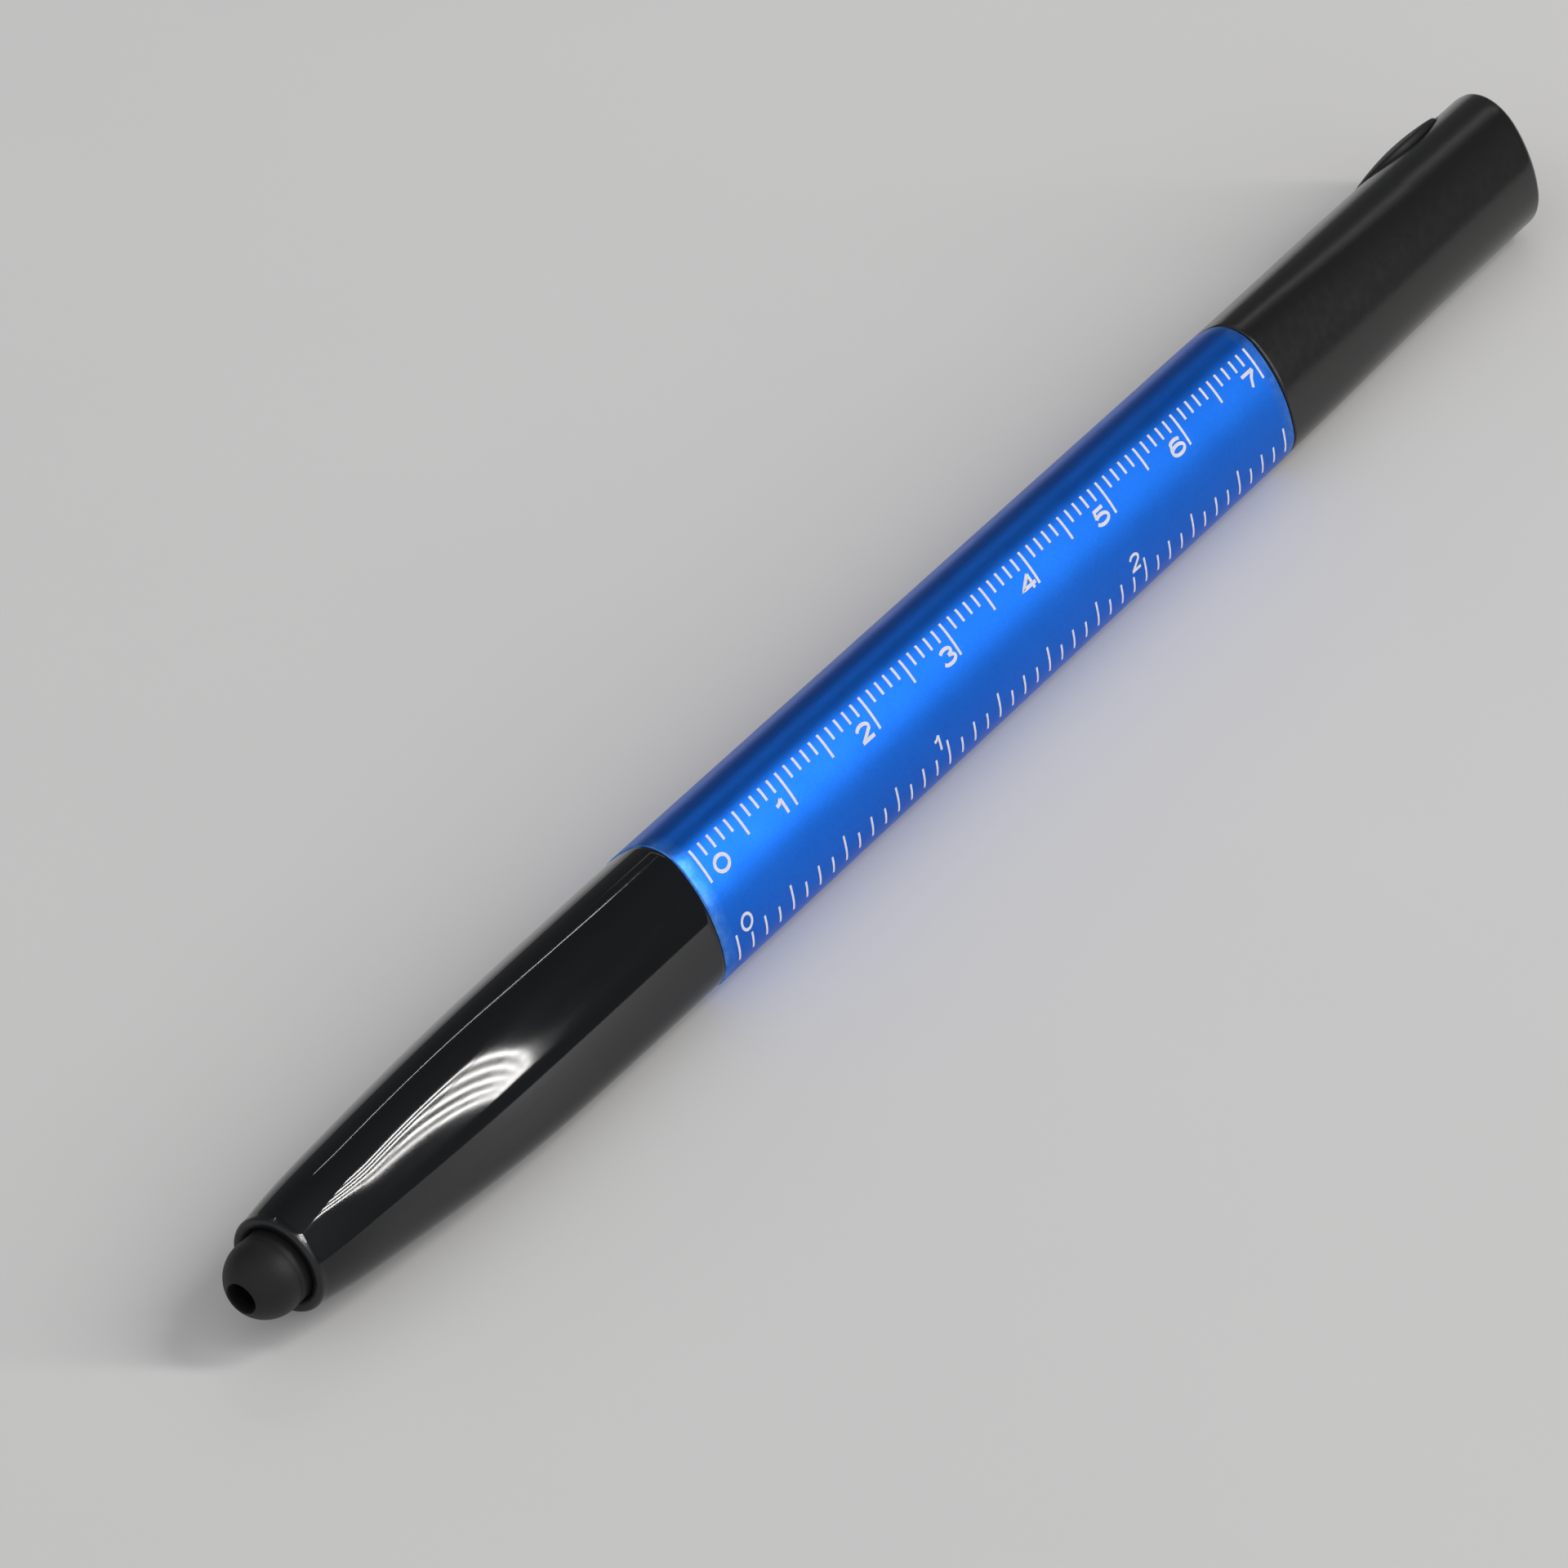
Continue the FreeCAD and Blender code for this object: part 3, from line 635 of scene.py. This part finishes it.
STROKES = {
    "0": [arc(0.5, 0.5, 0.5, 0.5, 90, 450, 33)],
    "1": [line((0.0, 0.73), (0.45, 0.80), (0.86, 1.0)), line((0.86, 1.0), (0.86, 0.0))],
    "2": [np.concatenate([arc(0.49, 0.71, 0.47, 0.29, 172, -28), line((0.80, 0.50), (0.06, 0.0))[2:]]),
          line((0.0, 0.0), (1.0, 0.0))],
    "3": [arc(0.49, 0.765, 0.43, 0.235, 160, -82), arc(0.49, 0.265, 0.50, 0.265, 82, -165)],
    "4": [line((0.74, 1.0), (0.0, 0.30), (1.0, 0.30)), line((0.74, 1.0), (0.74, 0.0))],
    "5": [line((0.92, 1.0), (0.20, 1.0), (0.09, 0.50)), arc(0.48, 0.32, 0.51, 0.32, 142, -160, 20)],
    "6": [arc(0.5, 0.31, 0.5, 0.31, 180, 540, 29), np.concatenate([arc(0.53, 0.70, 0.50, 0.30, 38, 140), arc(0.62, 0.36, 0.62, 0.56, 140, 180)[2:]])],
    "7": [line((0.0, 1.0), (1.0, 1.0)), np.concatenate([line((1.0, 1.0), (0.62, 0.58))[:-1], line((0.62, 0.58), (0.38, 0.0))])],
}


def stroke_box(path, left, top, width, height, pen):
    """One stroke as a curved box. The ribbon's sides lie half a pen width along the path's normal, longer at a bend
    by one over the cosine of half the turn; the ring of four goes round its two sides and two faces."""
    xy = np.stack([left + pen / 2 + path[:, 0] * (width - pen), top + height - pen / 2 - path[:, 1] * (height - pen)], -1)
    step = np.diff(xy, axis=0)
    step /= np.maximum(np.hypot(*step.T), 1e-9)[:, None]
    before, after = np.concatenate([step[:1], step]), np.concatenate([step, step[-1:]])
    if np.allclose(xy[0], xy[-1]):
        before[0], after[-1] = step[-1], step[0]
    mean = before + after
    mean /= np.hypot(*mean.T)[:, None]
    long = pen / 2 / np.maximum((mean * before).sum(1), 0.5)
    off = np.stack([-mean[:, 1], mean[:, 0]], -1) * long[:, None]
    side = np.array([1, -1, -1, 1])[None, :, None]
    at = xy[:, None, :] + off[:, None, :] * side
    inset = np.broadcast_to(np.array([-INK, -INK, 0.03, 0.03]), at.shape[:2])
    pts = surface(at[..., 0], SIDE_H, CORNER_H, inset, angle_at(at[..., 1], SIDE_H, CORNER_H, PRINTED))
    n = len(xy)
    faces = np.concatenate([strips(n, 4, False), [[0, 1, 2, 3], [4 * n - 1, 4 * n - 2, 4 * n - 3, 4 * n - 4]]])
    return pts.reshape(-1, 3), faces


def numbers(name, boxes, top, height, pen):
    """All numbers of one scale as one piece. boxes: (station of the left edge, width) for 0, 1, 2..."""
    points, faces, count = [], [], 0
    for digit, (left, width) in enumerate(boxes):
        for path in STROKES[str(digit)]:
            p, f = stroke_box(path, ZERO + left, top, width, height, pen)
            points.append(p)
            faces.append(f + count)
            count += len(p)
    print(name, len(boxes), "numbers")
    return outward(add_mesh(name, np.concatenate(points), np.concatenate(faces).tolist(), smooth_angle=30.0))


CM_BOX = [(0.82, 1.66), (8.19, 1.04), (17.80, 1.62), (28.05, 1.62), (38.10, 1.79), (47.70, 1.70), (57.82, 1.72), (67.90, 1.69)]
centimetre_numbers = numbers("centimetre_numbers", CM_BOX, -2.74, 1.38, 0.27)
IN_BOX = [(0.72, 1.30), (24.02, 0.82), (49.12, 1.28)]
inch_numbers = numbers("inch_numbers", IN_BOX, 1.76, 1.36, 0.22)

# %% [markdown]
# ## Finishes
#
# A finish is more than one colour. Each material below starts as a Principled
# shader with its constants on the shader's own sockets. Noise at the right scale
# then varies the colour and the roughness a little, and a fine bump gives the
# grain. Patterns read Object coordinates, in metres, so a noise scale of 1000
# has features about a millimetre across.

# %% Material helpers
class Finish:
    """A material under construction: its node tree, its shader and its object coordinates."""

    def __init__(self, name, colour, roughness, metallic=0.0, **sockets):
        self.mat = bpy.data.materials.new(name)
        self.mat.use_nodes = True
        self.tree = self.mat.node_tree
        self.shader = next(n for n in self.tree.nodes if n.type == "BSDF_PRINCIPLED")
        self.shader.inputs["Base Color"].default_value = (*colour, 1)
        self.shader.inputs["Roughness"].default_value = roughness
        self.shader.inputs["Metallic"].default_value = metallic
        for key, value in sockets.items():
            self.shader.inputs[key.replace("_", " ")].default_value = value
        self.colour = colour
        self.coords = self.node("ShaderNodeTexCoord").outputs["Object"]
        self.bumped = None

    def node(self, kind, **inputs):
        n = self.tree.nodes.new(kind)
        for key, value in inputs.items():
            self.give(n.inputs[key.replace("_", " ")], value)
        return n

    def give(self, socket, value):
        if isinstance(value, bpy.types.NodeSocket):
            self.tree.links.new(value, socket)
        else:
            socket.default_value = value

    def noise(self, scale, detail=3.0, stretch=None, rough=0.55):
        """Noise between 0 and 1; stretch multiplies the coordinates, so a small number makes long streaks."""
        vector = self.coords
        if stretch is not None:
            vector = self.node("ShaderNodeMapping", Vector=vector, Scale=stretch).outputs["Vector"]
        return self.node("ShaderNodeTexNoise", Vector=vector, Scale=scale, Detail=detail, Roughness=rough).outputs["Fac"]

    def span(self, value, lo, hi, to_lo, to_hi):
        """Maps a value from one span to another, held at the ends."""
        n = self.node("ShaderNodeMapRange", Value=value, From_Min=lo, From_Max=hi, To_Min=to_lo, To_Max=to_hi)
        return n.outputs["Result"]

    def mix(self, factor, a, b):
        """Mixes two colours."""
        n = self.node("ShaderNodeMix")
        n.data_type = "RGBA"
        self.give(n.inputs["Factor"], factor)
        self.give(n.inputs["A"], a if isinstance(a, bpy.types.NodeSocket) else (*a, 1))
        self.give(n.inputs["B"], b if isinstance(b, bpy.types.NodeSocket) else (*b, 1))
        return n.outputs["Result"]

    def attribute(self, name):
        n = self.node("ShaderNodeAttribute")
        n.attribute_name = name
        return n.outputs["Fac"]

    def set(self, socket, value):
        self.give(self.shader.inputs[socket], value)

    def bump(self, height, strength, distance):
        """Adds a bump on top of any bump already there. distance is in metres."""
        n = self.node("ShaderNodeBump", Height=height, Strength=strength, Distance=distance)
        if self.bumped is not None:
            self.tree.links.new(self.bumped, n.inputs["Normal"])
        self.bumped = n.outputs["Normal"]
        self.tree.links.new(self.bumped, self.shader.inputs["Normal"])


def tone(colour, factor):
    return tuple(min(c * factor, 1.0) for c in colour)


def wear(f, strength, highlight_wear_colour):
    """Shows a lighter colour where the piece's edge attribute is high, broken up by noise: a painted highlight on the
    edges, mixed with wear.
    """
    highlight_wear_share = f.node("ShaderNodeMath", Value=f.attribute("edge"))
    highlight_wear_share.operation = "MULTIPLY"
    f.give(highlight_wear_share.inputs[1], f.span(f.noise(1500, 4), 0.35, 0.7, 0.2 * strength, strength))
    return highlight_wear_share.outputs["Value"], highlight_wear_colour


print("finish helpers ready")

# %% [markdown]
# ## Anodised aluminium
#
# Anodising dyes a clear oxide on satin metal: the colour is that of a metal
# mirror, deep and saturated, with a very fine grain and a soft highlight. The
# broken ends are painted a lighter blue: a painted highlight on the bevels,
# mixed with wear where the oxide is thin.

# %% Barrel finish
def anodised():
    f = Finish("blue_anodised", (0.014, 0.160, 0.76), 0.38, 1.0)
    patch = f.span(f.noise(90, 3), 0.35, 0.65, 0.0, 1.0)
    colour = f.mix(patch, (0.012, 0.150, 0.73), (0.015, 0.168, 0.79))
    grain = f.noise(6000, 2)
    colour = f.mix(f.span(grain, 0.25, 0.75, 0.0, 1.0), darker(colour, f, 0.86), colour)
    # The ends turn a lighter blue where edge is high: a painted highlight on the bevels, mixed with wear.
    highlight_wear_share, highlight_wear_colour = wear(f, 0.75, (0.22, 0.50, 0.92))
    f.set("Base Color", f.mix(highlight_wear_share, colour, highlight_wear_colour))
    f.set("Roughness", f.span(f.noise(420, 4), 0.3, 0.7, 0.36, 0.41))
    f.bump(grain, 0.30, 0.00002)
    return f.mat


def darker(colour, f, factor):
    """A darker copy of a colour that comes from a node."""
    n = f.node("ShaderNodeHueSaturation", Value=factor)
    f.give(n.inputs["Color"], colour)
    return n.outputs["Color"]


blue_anodised = anodised()
print(blue_anodised.name)

# %% [markdown]
# ## Black plastics and rubber
#
# The nose is gloss ABS: nearly a black mirror, with faint flow marks and fine
# handling scratches that dull it in places. The cap is the same plastic from a
# textured mould, so its highlight spreads. The ball and the switch are silicone
# rubber, which is matt, a little warmer, and gathers pale dust.

# %% Black finishes
def gloss_black():
    f = Finish("black_gloss", (0.004, 0.0045, 0.006), 0.05, 0.0, IOR=1.47)
    flow = f.noise(120, 2, (0.25, 1.0, 1.0))
    f.set("Base Color", f.mix(flow, (0.003, 0.0035, 0.0045), (0.005, 0.006, 0.008)))
    polish = f.noise(4200, 3, (0.03, 1.0, 1.0))
    fine = f.span(f.noise(900, 4, (0.08, 1.0, 1.0)), 0.35, 0.75, 0.04, 0.07)
    lip = f.node("ShaderNodeMath", Value=f.span(f.attribute("edge"), 0.0, 0.5, 0.0, 0.35))
    f.give(lip.inputs[1], fine)
    f.set("Roughness", lip.outputs["Value"])
    f.bump(f.noise(300, 1, (0.1, 1.0, 1.0)), 0.008, 0.00003)
    f.bump(polish, 0.02, 0.00001)
    return f.mat


def satin_black():
    f = Finish("black_satin", (0.007, 0.0075, 0.007), 0.20, 0.0, IOR=1.50)
    patch = f.noise(150, 3)
    # The cap's ends turn a lighter grey where edge is high: a painted highlight, mixed with wear.
    highlight_wear_share, highlight_wear_colour = wear(f, 0.22, (0.03, 0.031, 0.03))
    f.set("Base Color", f.mix(highlight_wear_share, f.mix(patch, (0.0068, 0.0073, 0.0068), (0.0078, 0.0083, 0.0078)), highlight_wear_colour))
    f.set("Roughness", f.span(f.noise(1400, 4), 0.3, 0.7, 0.18, 0.215))
    f.bump(f.noise(6500, 3), 0.05, 0.00002)
    return f.mat


def rubber(name, colour, rough_lo, rough_hi, dust):
    f = Finish(name, colour, 0.8, 0.0, IOR=1.43, Sheen_Weight=0.012, Sheen_Roughness=0.5)
    patch = f.noise(260, 4)
    base = f.mix(patch, tone(colour, 0.8), tone(colour, 1.25))
    speck = f.span(f.noise(2600, 2), 0.70, 0.76, 0.0, dust)
    f.set("Base Color", f.mix(speck, base, (0.16, 0.155, 0.14)))
    f.set("Roughness", f.span(patch, 0.3, 0.7, rough_lo, rough_hi))
    f.bump(f.noise(6500, 3), 0.22, 0.00004)
    return f.mat


black_gloss = gloss_black()
black_satin = satin_black()
black_rubber = rubber("black_rubber", (0.0045, 0.0045, 0.0045), 0.50, 0.64, 0.05)
nitrile = rubber("nitrile", (0.018, 0.018, 0.020), 0.55, 0.7, 0.1)

# %% [markdown]
# ## Ink, plastics and metals of the inner parts
#
# The inner parts are seen when the pen is opened or cut away. Three makers cover
# them: a moulded plastic with soft mottling, a metal with drawn or turned lines
# and slight tarnish, and clear or dyed resin that lets light through.

# %% Other finishes
def moulded(name, colour, rough=0.42, through=0.0):
    f = Finish(name, colour, rough, 0.0, IOR=1.48, Transmission_Weight=through)
    mottle = f.noise(350, 4)
    f.set("Base Color", f.mix(mottle, tone(colour, 0.9), tone(colour, 1.06)))
    f.set("Roughness", f.span(f.noise(900, 3), 0.3, 0.7, rough - 0.07, rough + 0.08))
    f.bump(f.noise(3200, 3), 0.12, 0.00002)
    return f.mat


def bright_metal(name, colour, rough=0.25, stretch=(0.06, 1.0, 1.0)):
    f = Finish(name, colour, rough, 1.0)
    tarnish = f.noise(500, 4)
    f.set("Base Color", f.mix(f.span(tarnish, 0.4, 0.8, 0.0, 1.0), colour, tone(colour, 0.78)))
    line = f.noise(2200, 3, stretch)
    f.set("Roughness", f.span(line, 0.3, 0.7, rough - 0.08, rough + 0.10))
    f.bump(line, 0.10, 0.00001)
    return f.mat


def printed_ink():
    f = Finish("scale_ink", (0.80, 0.78, 0.84), 0.48, 0.0, IOR=1.46)
    cover = f.noise(2600, 3)
    f.set("Base Color", f.mix(f.span(cover, 0.3, 0.7, 0.0, 1.0), (0.70, 0.69, 0.78), (0.86, 0.84, 0.88)))
    f.set("Roughness", f.span(cover, 0.3, 0.7, 0.42, 0.56))
    f.bump(cover, 0.12, 0.00001)
    return f.mat


def circuit_board():
    f = Finish("board", (0.02, 0.20, 0.07), 0.38, 0.0)
    weave = f.node("ShaderNodeTexWave", Vector=f.coords, Scale=900.0, Distortion=2.0, Detail=2.0).outputs["Fac"]
    track = f.node("ShaderNodeTexBrick", Vector=f.coords, Scale=420.0).outputs["Fac"]
    green = f.mix(weave, (0.014, 0.16, 0.055), (0.026, 0.24, 0.09))
    f.set("Base Color", f.mix(track, green, (0.05, 0.32, 0.10)))
    f.set("Roughness", f.span(weave, 0.0, 1.0, 0.32, 0.45))
    f.bump(track, 0.2, 0.00003)
    return f.mat


made = {
    "blue_anodised": blue_anodised, "black_gloss": black_gloss, "black_satin": black_satin,
    "black_rubber": black_rubber, "nitrile": nitrile,
    "white_acetal": moulded("white_acetal", (0.80, 0.80, 0.76)), "grey_acetal": moulded("grey_acetal", (0.30, 0.31, 0.32)),
    "clear_tube": moulded("clear_tube", (0.86, 0.89, 0.89), 0.28, 0.55),
    "blue_ink": moulded("blue_ink", (0.012, 0.025, 0.26), 0.2), "insulating_film": moulded("insulating_film", (0.06, 0.28, 0.14), 0.25),
    "uv_resin": moulded("uv_resin", (0.72, 0.68, 0.92), 0.12, 0.8), "black_resin": moulded("black_resin", (0.02, 0.02, 0.021), 0.5),
    "nickel_silver": bright_metal("nickel_silver", (0.72, 0.69, 0.62), 0.22),
    "tungsten_carbide": bright_metal("tungsten_carbide", (0.42, 0.42, 0.44), 0.2),
    "spring_steel": bright_metal("spring_steel", (0.60, 0.60, 0.62), 0.24, (1.0, 0.2, 0.2)),
    "stainless": bright_metal("stainless", (0.66, 0.66, 0.67), 0.26, (1.0, 0.1, 0.1)),
    "brass": bright_metal("brass", (0.75, 0.55, 0.22), 0.24), "tinned_steel": bright_metal("tinned_steel", (0.68, 0.68, 0.70), 0.3),
    "board": circuit_board(),
}
scale_ink = printed_ink()
print("finishes", len(made) + 1)

# %% [markdown]
# ## Dressing the frame
#
# Every part of the frame takes the finish of the material slot that the record
# gives it. The fine skins then stand for the five outer shells, and ride on the
# same bodies, so they turn and slide with the pen's own joints.

# %% Give every part its finish and every piece its body
slot_of = {s["node"]: s["material_slot"] for s in frame["record"]["subparts"]}
for node, obj in frame["nodes"].items():
    obj.data.materials.clear()
    obj.data.materials.append(made[slot_of[node]])

for piece, node, body in ((barrel_skin, "barrel", "barrel"), (nose_skin, "nose_cone", "barrel"),
                          (stylus_skin, "stylus_dome", "barrel"), (cap_skin, "tail_cap", "tail"),
                          (switch_skin, "switch_button", "button"), (spring_coil, "return_spring", "barrel")):
    piece.data.materials.append(made[slot_of[node]])
    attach(piece, body)
    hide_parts(node)
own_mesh(spring_coil)
for piece in (centimetre_ticks, inch_ticks, centimetre_numbers, inch_numbers):
    piece.data.materials.append(scale_ink)
    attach(piece, "barrel")
print("dressed", len(slot_of), "parts")

# %% [markdown]
# ## Table, room and lamps
#
# Small glossy things are lit as much by what they mirror as by the lamps. Rows
# of ceiling tubes off to the right give the nose its band of fine streaks, one
# more tube ahead of the pen draws the thin line along the upper corner, and the
# room behind the camera is the large soft light. A grey room keeps the black
# parts black.

# %% Table top
def make_table():
    """A flat disc of rings, three metres across its radius, facing up."""
    r = np.concatenate([[0.0], np.geomspace(0.05, 3.0, 24)])[:, None]
    a = np.linspace(0, 2 * np.pi, 96, endpoint=False)[None, :]
    pts = np.stack(np.broadcast_arrays(r * np.cos(a), r * np.sin(a), 0 * r * a), -1)
    faces = strips(25, 96, False)[96:].tolist()
    j = np.arange(96)
    hub = np.stack([np.zeros(96, int), 96 + j, 96 + (j + 1) % 96], -1).tolist()
    used, compact = np.unique(np.concatenate([np.ravel(faces), np.ravel(hub)]), return_inverse=True)
    quads = compact[:len(faces) * 4].reshape(-1, 4).tolist()
    tris = compact[len(faces) * 4:].reshape(-1, 3).tolist()
    mesh = bpy.data.meshes.new("table_top")
    mesh.from_pydata(pts.reshape(-1, 3)[used], [], quads + tris)
    obj = bpy.data.objects.new("table_top", mesh)
    bpy.context.scene.collection.objects.link(obj)
    if mesh.polygons[0].normal.z < 0:
        mesh.flip_normals()
    return obj


table_top = make_table()
f = Finish("pale_laminate", (0.78, 0.77, 0.77), 0.46, 0.0, IOR=1.45, Specular_IOR_Level=0.3)
f.set("Base Color", f.mix(f.noise(14, 4), (0.765, 0.758, 0.758), (0.81, 0.802, 0.801)))
f.set("Roughness", f.span(f.noise(60, 4), 0.3, 0.7, 0.43, 0.49))
table_top.data.materials.append(f.mat)

# %% Ceiling tubes
CEILING = 1.6


def tube_lamp(name, along, across, heading, length, width, radiance):
    """A downward area lamp in the ceiling, placed by distances along and across a heading (degrees)."""
    data = bpy.data.lights.new(name, "AREA")
    data.shape = "RECTANGLE"
    data.size, data.size_y = length, width
    data.energy = radiance * np.pi * length * width
    data.color = (1.0, 0.985, 0.96)
    obj = bpy.data.objects.new(name, data)
    bpy.context.scene.collection.objects.link(obj)
    h = np.radians(heading)
    obj.location = (along * np.cos(h) - across * np.sin(h), along * np.sin(h) + across * np.cos(h), CEILING)
    obj.rotation_euler = (0, 0, h)
    return obj


ROWS = ((0.55, 1.35), (1.37, 2.15), (2.17, 3.00), (3.02, 4.20), (4.22, 5.80))
for row, (near, far) in enumerate(ROWS):
    for tube in range(5):
        across = CEILING * (-0.05 + 0.20 * (tube + 0.5) / 5)
        tube_lamp(f"row_{row}_tube_{tube}", CEILING * (near + far) / 2, across, -57.0, CEILING * (far - near), 0.014,
                  60.0 + 12.0 * row)
tube_lamp("front_tube", CEILING * -0.285, CEILING * 0.81, -68.0, CEILING * 0.67, 0.018, 24.0)
tube_lamp("far_panel", 0.0, CEILING * 1.27, -68.0, CEILING * 0.8, CEILING * 0.12, 1.6)

# %% Room light
world = bpy.data.worlds.new("grey_room")
bpy.context.scene.world = world
world.use_nodes = True
tree = world.node_tree
background = next(n for n in tree.nodes if n.type == "BACKGROUND")
direction = tree.nodes.new("ShaderNodeTexCoord")
dot = tree.nodes.new("ShaderNodeVectorMath")
dot.operation = "DOT_PRODUCT"
tree.links.new(direction.outputs["Generated"], dot.inputs[0])
dot.inputs[1].default_value = (-0.80, -0.30, 0.25)
fade = tree.nodes.new("ShaderNodeMapRange")
fade.interpolation_type = "SMOOTHSTEP"
tree.links.new(dot.outputs["Value"], fade.inputs["Value"])
for key, value in (("From Min", -0.30), ("From Max", 0.80), ("To Min", 0.15), ("To Max", 0.75)):
    fade.inputs[key].default_value = value
tree.links.new(fade.outputs["Result"], background.inputs["Strength"])
background.inputs["Color"].default_value = (0.98, 0.99, 1.0, 1)
bpy.context.scene.view_settings.view_transform = "Standard"
